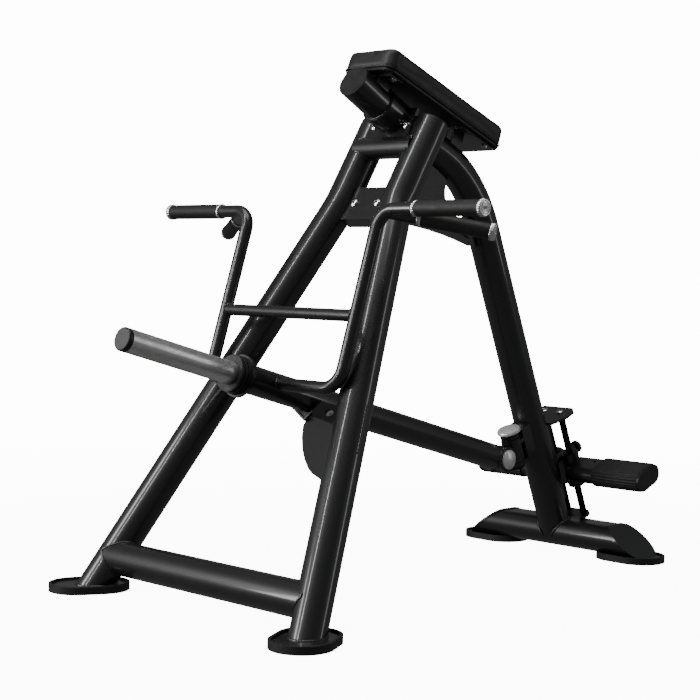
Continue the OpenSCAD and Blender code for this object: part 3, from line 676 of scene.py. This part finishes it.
def pad_trim():
    """The welt where the cover meets the board, the board's rounded lower edge and the hem stitches."""
    down = (PAD.to_3x3() @ Vector((0, 0, -1))).normalized()
    for name, height, inset, radius, slot in (WELT, BOARD_STRIP):
        bm = bmesh.new()
        path = [PAD @ (point + height * UP) for point, _ in pad_edge(inset, 4 * MM)]
        sweep(bm, path, [down] * len(path), radius)
        add_piece(name, bm, slot, "frame", "pad_vinyl")
    bm = bmesh.new()
    ring = pad_edge(STITCH_INSET, STITCH_STEP)
    for i, (point, out) in enumerate(ring):
        nxt = ring[(i + 1) % len(ring)][0]
        path = [PAD @ (point.lerp(nxt, f) + STITCH_HEIGHT * UP) for f in (0.15, 0.5, 0.85)]
        outward = (PAD.to_3x3() @ out).normalized()
        sweep(bm, path, [outward] * len(path), STITCH_R, sides=6, closed=False)
    add_piece("hem_stitches", bm, "pad_vinyl", "frame", "thread")


# ---------- footrest treads ----------

TREAD_RIDGES = 34
RIDGE_POINTS = 8
RIDGE_H = 1.6 * MM
TREAD_LIP = 1.5 * MM


def ridged_oval(width, height, ridge):
    """A stadium outline with even ridges round it, as (across, up) pairs."""
    radius = height / 2
    straight = width - height
    girth = 2 * straight + 2 * math.pi * radius
    points = []
    for k in range(TREAD_RIDGES * RIDGE_POINTS):
        run = girth * k / (TREAD_RIDGES * RIDGE_POINTS)
        wave = ridge * min(1.0, max(0.0, 0.5 - 1.6 * math.cos(2 * math.pi * k / RIDGE_POINTS)))
        if run < straight:
            spot, out = (-straight / 2 + run, radius), (0, 1)
        elif run < straight + math.pi * radius:
            angle = math.pi / 2 - (run - straight) / radius
            out = (math.cos(angle), math.sin(angle))
            spot = (straight / 2 + radius * out[0], radius * out[1])
        elif run < 2 * straight + math.pi * radius:
            back = run - straight - math.pi * radius
            spot, out = (straight / 2 - back, -radius), (0, -1)
        else:
            angle = -math.pi / 2 - (run - 2 * straight - math.pi * radius) / radius
            out = (math.cos(angle), math.sin(angle))
            spot = (-straight / 2 + radius * out[0], radius * out[1])
        points.append((spot[0] + (wave - ridge) * out[0], spot[1] + (wave - ridge) * out[1]))
    return points


def footrest_sleeves():
    """Ribbed rubber sleeves over the footrest tubes, with a rounded lip at each end."""
    behind = Vector(JOINTS["lock_pull"]["axis"])
    centre = middle("footrest_treads")
    _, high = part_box("footrest_treads")
    parts = islands("footrest_treads")
    across = np.concatenate(parts) @ np.array(behind)
    upward = np.concatenate(parts) @ np.array(MAST_DIR)
    width, height = float(np.ptp(across)), float(np.ptp(upward))
    inner = float(min(np.abs(part[:, 0]).min() for part in parts))
    bm = bmesh.new()
    for side in (-1, 1):
        loops = []
        for x, scale, ridge in (
            (inner, 0.90, 0.0), (inner, 0.97, 0.0), (inner + TREAD_LIP, 1.0, RIDGE_H),
            (high.x - TREAD_LIP, 1.0, RIDGE_H), (high.x, 0.97, 0.0), (high.x, 0.90, 0.0),
        ):
            hub = Vector((side * x, centre.y, centre.z))
            loops.append([
                bm.verts.new(hub + scale * (a * behind + b * MAST_DIR))
                for a, b in ridged_oval(width, height, ridge)
            ])
        bridge(bm, loops)
    sleeves = add_piece("tread_sleeves", bm, "black_rubber", "footrest")
    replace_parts(sleeves, "footrest_treads")


# ---------- studio ----------


BACKDROP, REFLECTED = 14.0, 0.12
FLOOR_LIFT, FLOOR_ALBEDO = 11.0, 0.93
FLOOR_DROP = 0.2 * MM
FADE_START, FADE_END = 0.9, 3.0


def make_floor():
    """A pale floor round the machine that fades into the white backdrop."""
    bm = bmesh.new()
    bmesh.ops.create_grid(bm, x_segments=8, y_segments=8, size=60)
    floor = new_object("floor", bm)
    floor.location.z = -FLOOR_DROP
    material = bpy.data.materials.new("floor")
    material.use_nodes = True
    tree = material.node_tree
    tree.nodes.clear()
    coords = add_node(tree, "ShaderNodeTexCoord").outputs["Object"]
    distance = add_node(tree, "ShaderNodeVectorMath", {0: coords}, operation="LENGTH")
    fade = add_node(
        tree, "ShaderNodeMapRange", {"Value": distance.outputs["Value"]},
        {"From Min": FADE_START, "From Max": FADE_END},
    )
    matte = add_node(tree, "ShaderNodeBsdfDiffuse", inputs={"Color": (*grey(FLOOR_ALBEDO), 1)})
    lift = add_node(tree, "ShaderNodeEmission", inputs={"Strength": FLOOR_LIFT})
    glow = add_node(tree, "ShaderNodeEmission", inputs={"Strength": BACKDROP})
    lifted = add_node(tree, "ShaderNodeAddShader", {0: matte.outputs[0], 1: lift.outputs[0]})
    links = {0: fade.outputs["Result"], 1: lifted.outputs[0], 2: glow.outputs[0]}
    mix = add_node(tree, "ShaderNodeMixShader", links)
    add_node(tree, "ShaderNodeOutputMaterial", {"Surface": mix.outputs[0]})
    floor.data.materials.append(material)
    floor.visible_glossy = floor.visible_diffuse = False


def make_world():
    """White behind the object, dimmer in its reflections."""
    world = bpy.data.worlds.new("studio")
    bpy.context.scene.world = world
    world.use_nodes = True
    tree = world.node_tree
    tree.nodes.clear()
    seen = add_node(tree, "ShaderNodeLightPath").outputs["Is Camera Ray"]
    values = {"To Min": REFLECTED, "To Max": BACKDROP}
    strength = add_node(tree, "ShaderNodeMapRange", {"Value": seen}, values).outputs["Result"]
    white = {"Color": (1, 1, 1, 1)}
    background = add_node(tree, "ShaderNodeBackground", {"Strength": strength}, white)
    add_node(tree, "ShaderNodeOutputWorld", {"Surface": background.outputs[0]})


LIGHT_AIM = (0, 0, 0.6)
LIGHTS = (
    ("key_left", (-2.3, -3.4, 1.5), 0.9, 2.4, 84),
    ("strip_front", (-0.48, -2.46, 2.58), 0.10, 3.4, 44),
    ("rim_right", (3.0, 2.6, 1.5), 0.5, 2.2, 10),
    ("overhead", (0.2, -0.4, 3.4), 2.4, 1.6, 34),
)


def softbox(name, place, width, height, watts):
    light = bpy.data.lights.new(name, "AREA")
    light.shape = "RECTANGLE"
    light.size, light.size_y, light.energy = width, height, watts
    obj = bpy.data.objects.new(name, light)
    obj.location = place
    obj.rotation_mode = "QUATERNION"
    obj.rotation_quaternion = (Vector(LIGHT_AIM) - Vector(place)).to_track_quat("-Z", "Y")
    bpy.context.scene.collection.objects.link(obj)


CAMERA_PLACE = Vector((2.6004, -2.7087, 0.7365))
CAMERA_AZIMUTH = math.radians(45.003)
CAMERA_ELEVATION = math.radians(3.086)
CAMERA_ROLL = math.radians(0.964)
CAMERA_LENS, CAMERA_SENSOR = 84.09, 36


def make_camera():
    data = bpy.data.cameras.new("camera")
    data.sensor_width, data.lens = CAMERA_SENSOR, CAMERA_LENS
    data.clip_start, data.clip_end = 0.05, 200
    camera = bpy.data.objects.new("camera", data)
    bpy.context.scene.collection.objects.link(camera)
    a, e, r = CAMERA_AZIMUTH, CAMERA_ELEVATION, CAMERA_ROLL
    back = Vector((math.sin(a) * math.cos(e), -math.cos(a) * math.cos(e), math.sin(e)))
    level = Vector((math.cos(a), math.sin(a), 0))
    upright = back.cross(level)
    right = math.cos(r) * level + math.sin(r) * upright
    up = -math.sin(r) * level + math.cos(r) * upright
    matrix = Matrix((right, up, back)).transposed().to_4x4()
    matrix.translation = CAMERA_PLACE
    camera.matrix_world = matrix
    bpy.context.scene.camera = camera


paint_cad_nodes()
frame_welds()
lever_welds()
grip_fittings()
footrest_sleeves()
make_cushion()
pad_trim()
make_floor()
make_world()
for light_values in LIGHTS:
    softbox(*light_values)
make_camera()
